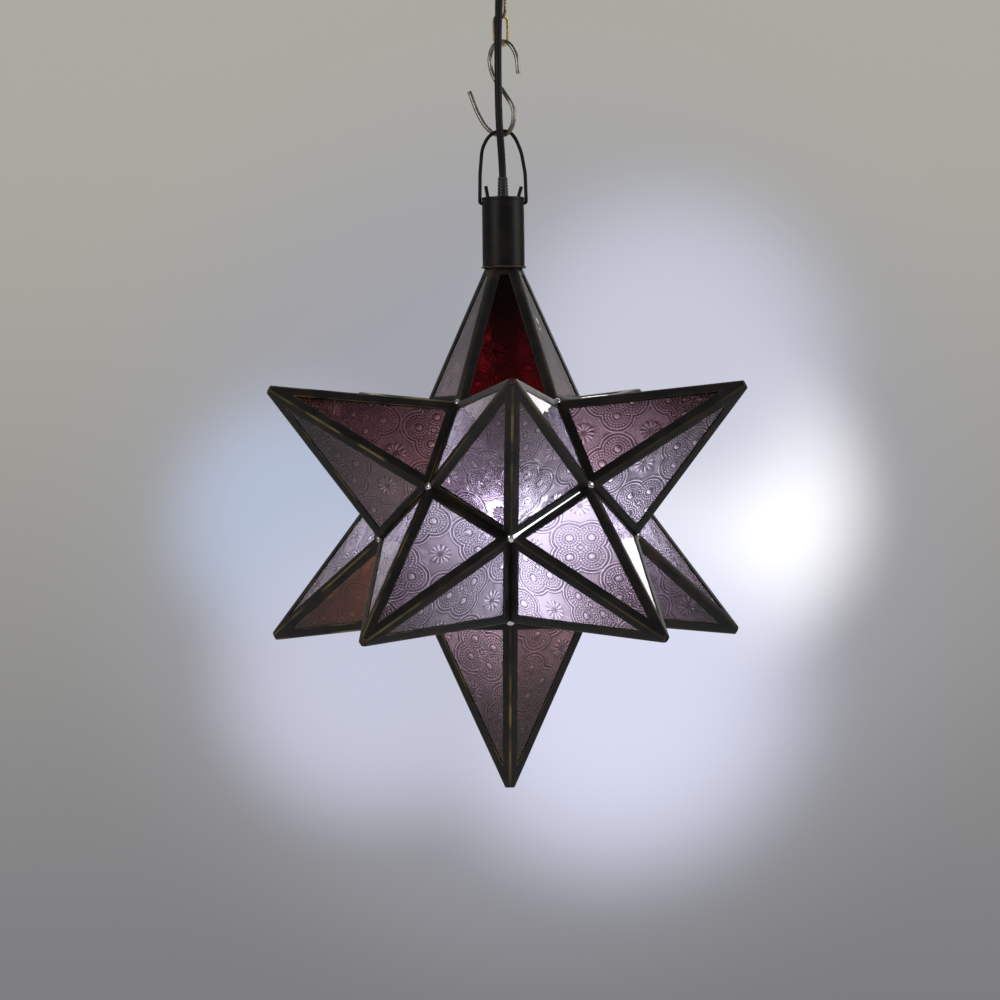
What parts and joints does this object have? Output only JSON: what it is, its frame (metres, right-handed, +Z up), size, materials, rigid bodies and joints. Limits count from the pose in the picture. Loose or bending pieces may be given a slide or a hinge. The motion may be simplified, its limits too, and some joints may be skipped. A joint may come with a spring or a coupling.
{
  "type": "moravian star pendant",
  "caption": "Twelve-pointed glass star lantern in metal cames with a neck, wire bail, S-hook, chain, cord and ceiling canopy; one ray opens as a door to the lamp.",
  "frame": {"origin": "middle of the ceiling plane that the mounting bar lies on", "axes": "+Z up, -Y towards the viewer, +X to the right; the star hangs down -Z"},
  "size_m": [0.3548, 0.3726, 0.6692],
  "materials": {
    "came": "blackened folded tin with worn brass-coloured edges",
    "lilac_glass": "pressed pattern, pale lilac",
    "ruby_glass": "ruby front pane, lilac others",
    "dark_metal": "blackened, worn",
    "brass": "aged",
    "hook_steel": "worn plated wire",
    "zinc": "zinc plated",
    "canopy_paint": "satin black",
    "black_plastic": "moulded",
    "cord": "black sheath",
    "ceramic": "white ceramic",
    "contact_brass": "plain",
    "lamp_metal": "nickelled",
    "lamp_plastic": "white",
    "lamp_glass": "frosted"
  },
  "bodies": {
    "canopy": {"mounting_bar": "zinc", "canopy_shell": "canopy_paint", "canopy_rod": "zinc", "canopy_nut": "zinc", "canopy_collar": "canopy_paint", "canopy_loop": "brass", "canopy_gland": "black_plastic", "terminal_block": "black_plastic", "canopy_cord_tail": "cord", "power_cord": "cord"},
    "link_3": {"chain_link_3": "brass"},
    "link_2": {"chain_link_2": "brass"},
    "link_1": {"chain_link_1": "brass"},
    "hook": {"s_hook": "hook_steel"},
    "bail": {"bail": "dark_metal"},
    "star": {"neck_tube": "dark_metal", "neck_plate": "zinc", "neck_rod": "zinc", "neck_nuts": "zinc", "cord_grip": "black_plastic", "neck_cord_tail": "cord", "holder_cap": "black_plastic", "holder_sleeve": "black_plastic", "holder_insulator": "ceramic", "screw_shell": "contact_brass", "holder_contact": "contact_brass", "door_hinge_fixed": "dark_metal", "door_hinge_pin": "dark_metal", "latch_pivot": "dark_metal", "top_frame": "came", "top_glass": "ruby_glass", "bottom_frame": "came", "bottom_glass": "lilac_glass", "upper_front_frame": "came", "upper_front_glass": "lilac_glass", "upper_right_frame": "came", "upper_right_glass": "lilac_glass", "upper_back_left_frame": "came", "upper_back_left_glass": "lilac_glass", "upper_left_frame": "came", "upper_left_glass": "lilac_glass", "lower_front_right_frame": "came", "lower_front_right_glass": "lilac_glass", "lower_right_frame": "came", "lower_right_glass": "lilac_glass", "lower_back_frame": "came", "lower_back_glass": "lilac_glass", "lower_left_frame": "came", "lower_left_glass": "lilac_glass", "lower_front_left_frame": "came", "lower_front_left_glass": "lilac_glass"},
    "door": {"door_frame": "came", "door_glass": "lilac_glass", "door_hinge_moving": "dark_metal", "latch_stud": "dark_metal"},
    "latch": {"latch_hook": "dark_metal"},
    "lamp": {"lamp_cap": "lamp_metal", "lamp_contact": "contact_brass", "lamp_collar": "lamp_plastic", "lamp_globe": "lamp_glass"}
  },
  "joints": [
    {"name": "link_3_swing", "type": "hinge", "parent": "canopy", "child": "link_3", "pos_m": [0, 0, -0.05153], "axis": [-0.515, 0.8572, 0], "range_deg": [-15, 15], "deforming": ["power_cord"]},
    {"name": "link_2_swing", "type": "hinge", "parent": "link_3", "child": "link_2", "pos_m": [0, 0, -0.07153], "axis": [0.8572, 0.515, 0], "range_deg": [-15, 15], "deforming": ["power_cord"]},
    {"name": "link_1_twist", "type": "hinge", "parent": "link_2", "child": "link_1", "pos_m": [0, 0, -0.09212], "axis": [0, 0, 1], "range_deg": [-30, 30], "deforming": ["power_cord"]},
    {"name": "hook_swing", "type": "hinge", "parent": "link_1", "child": "hook", "pos_m": [0, 0, -0.11273], "axis": [0.8572, 0.515, 0], "range_deg": [-20, 20], "deforming": ["power_cord"]},
    {"name": "bail_swing", "type": "hinge", "parent": "hook", "child": "bail", "pos_m": [0, 0, -0.17997], "axis": [0.766, -0.6428, 0], "range_deg": [-20, 20], "deforming": ["power_cord"]},
    {"name": "star_tilt", "type": "hinge", "parent": "bail", "child": "star", "pos_m": [0, 0, -0.23108], "axis": [1, 0, 0], "range_deg": [-35, 35], "deforming": ["power_cord"]},
    {"name": "door_open", "type": "hinge", "parent": "star", "child": "door", "pos_m": [0.03066, 0.0422, -0.37827], "axis": [0.809, -0.5878, 0], "range_deg": [0, 90]},
    {"name": "latch_turn", "type": "hinge", "parent": "star", "child": "latch", "pos_m": [0.02982, 0.0961, -0.46482], "axis": [0.309, 0.9511, 0], "range_deg": [0, 90]},
    {"name": "lamp_turn", "type": "hinge", "parent": "star", "child": "lamp", "pos_m": [0, 0, -0.42057], "axis": [0, 0, 1], "range_deg": [0, 360]}
  ]
}
